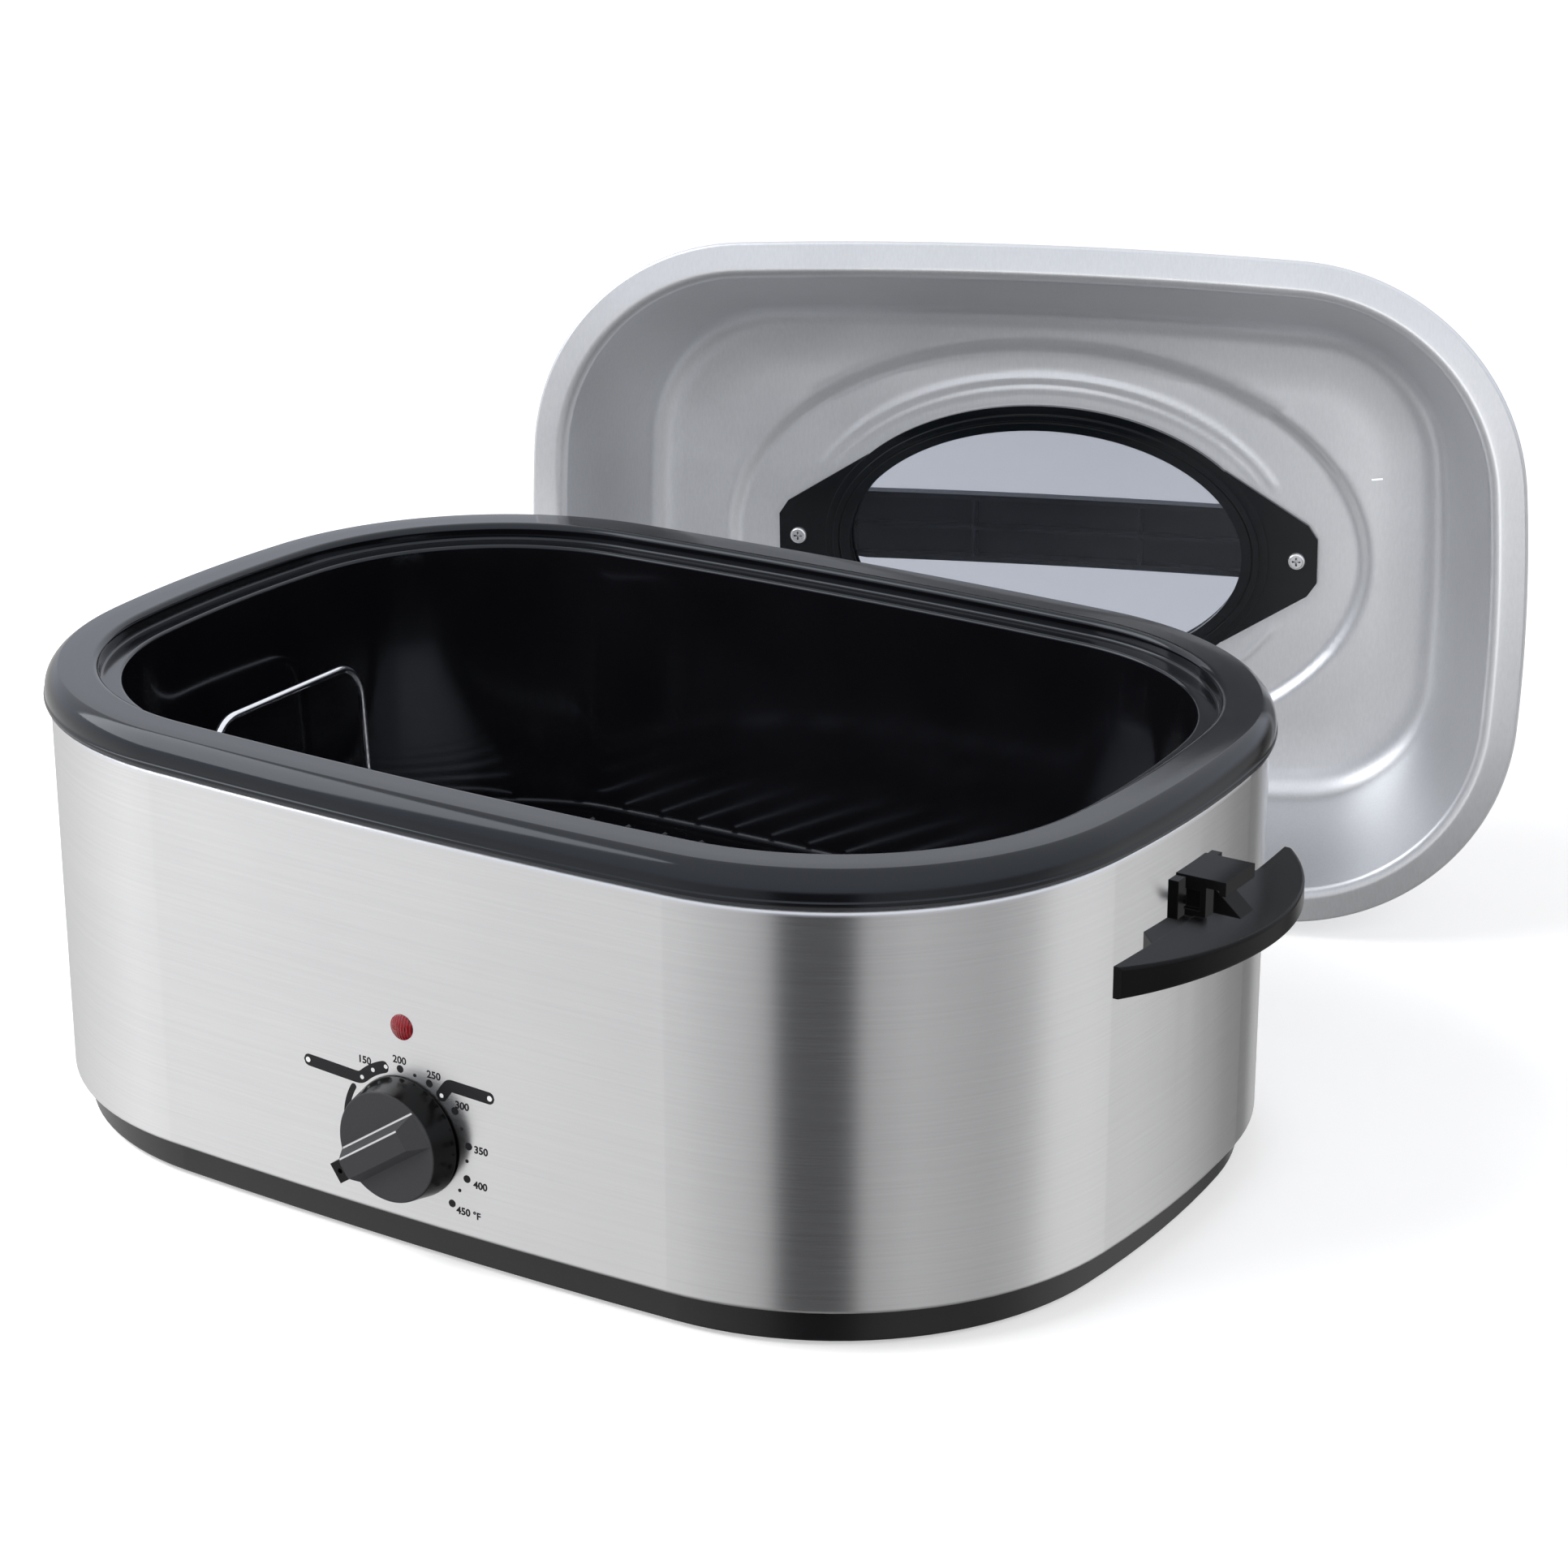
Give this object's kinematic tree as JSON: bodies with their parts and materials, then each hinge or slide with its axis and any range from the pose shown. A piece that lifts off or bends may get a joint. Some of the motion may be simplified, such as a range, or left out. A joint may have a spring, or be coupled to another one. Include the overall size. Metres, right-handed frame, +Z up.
{
  "type": "electric roaster oven",
  "caption": "Oblong countertop roaster oven with a stainless body, front dial, side handles, a lift-out black pan with a wire rack, and a lift-off lid with an oval window standing behind it.",
  "frame": {"origin": "on the standing surface, under the middle of the whole set: the body in front and the lid that stands behind it", "axes": "+X to the right of the front, +Y to the back, +Z up"},
  "size_m": [0.6252, 0.66, 0.3519],
  "materials": {
    "stainless": "brushed",
    "black_base": "satin black enamel",
    "cover_steel": "zinc plated, dull",
    "foot_rubber": "matte",
    "screw_steel": "plated",
    "liner_enamel": "glossy black enamel",
    "pan_enamel": "glossy black enamel",
    "heater_foil": "dull foil",
    "strap_steel": "satin",
    "glass_fibre": "soft matte",
    "ceramic_white": "matte",
    "brass": "satin",
    "lens_red": "clear red, glossy",
    "neon_glass": "clear",
    "spring_steel": "satin",
    "black_plastic": "satin",
    "knob_plastic": "satin",
    "rack_chrome": "bright",
    "lid_aluminium": "satin",
    "window_black": "semi-gloss",
    "window_glass": "clear, lightly tinted",
    "gasket_silicone": "matte",
    "handle_plastic": "satin"
  },
  "bodies": {
    "oven_body": {"outer_shell": "stainless", "base_ring": "black_base", "bottom_cover": "cover_steel", "foot_front_left": "foot_rubber", "foot_front_right": "foot_rubber", "foot_back_left": "foot_rubber", "foot_back_right": "foot_rubber", "foot_screws": "screw_steel", "base_screws": "screw_steel", "inner_liner": "liner_enamel", "heater_band": "heater_foil", "heater_clamp_lower": "strap_steel", "heater_clamp_upper": "strap_steel", "insulation_blanket": "glass_fibre", "insulation_floor": "glass_fibre", "liner_stud": "strap_steel", "stud_spacer": "strap_steel", "stud_nut": "screw_steel", "thermostat_bracket": "cover_steel", "thermostat_body": "ceramic_white", "thermostat_sensor": "brass", "thermostat_screws": "screw_steel", "indicator_lens": "lens_red", "indicator_lamp": "neon_glass", "lamp_clip": "spring_steel", "cord_bushing": "black_plastic", "terminal_block": "ceramic_white", "terminal_screws": "brass", "thermal_fuse": "ceramic_white", "fuse_clip": "spring_steel", "handle_right": "black_plastic", "handle_left": "black_plastic", "handle_plate_right": "cover_steel", "handle_plate_left": "cover_steel", "handle_screws_right": "screw_steel", "handle_screws_left": "screw_steel"},
    "knob": {"control_knob": "knob_plastic", "knob_shaft": "strap_steel", "knob_clip": "spring_steel"},
    "pan": {"cook_pan": "pan_enamel"},
    "rack": {"rack_frame": "rack_chrome", "rack_wires": "rack_chrome", "rack_legs": "rack_chrome", "rack_handle_right": "rack_chrome", "rack_handle_left": "rack_chrome"},
    "lid": {"lid_dome": "lid_aluminium", "window_frame_inner": "window_black", "window_glass": "window_glass", "window_gasket": "gasket_silicone", "window_frame_outer": "window_black", "lid_handle": "handle_plastic", "lid_screws": "screw_steel"}
  },
  "joints": [
    {"name": "knob_turn", "type": "hinge", "parent": "oven_body", "child": "knob", "pos_m": [0.0027, -0.3125, 0.058], "axis": [0, 1, 0], "range_deg": [0, 264]},
    {"name": "pan_lift", "type": "slide", "parent": "oven_body", "child": "pan", "axis": [0, 0, 1], "range_m": [0, 0.19]},
    {"name": "rack_lift", "type": "slide", "parent": "pan", "child": "rack", "axis": [0, 0, 1], "range_m": [0, 0.16]},
    {"name": "lid_lift", "type": "slide", "parent": "oven_body", "child": "lid", "axis": [0, 0, 1], "range_m": [0, 0.25]}
  ]
}
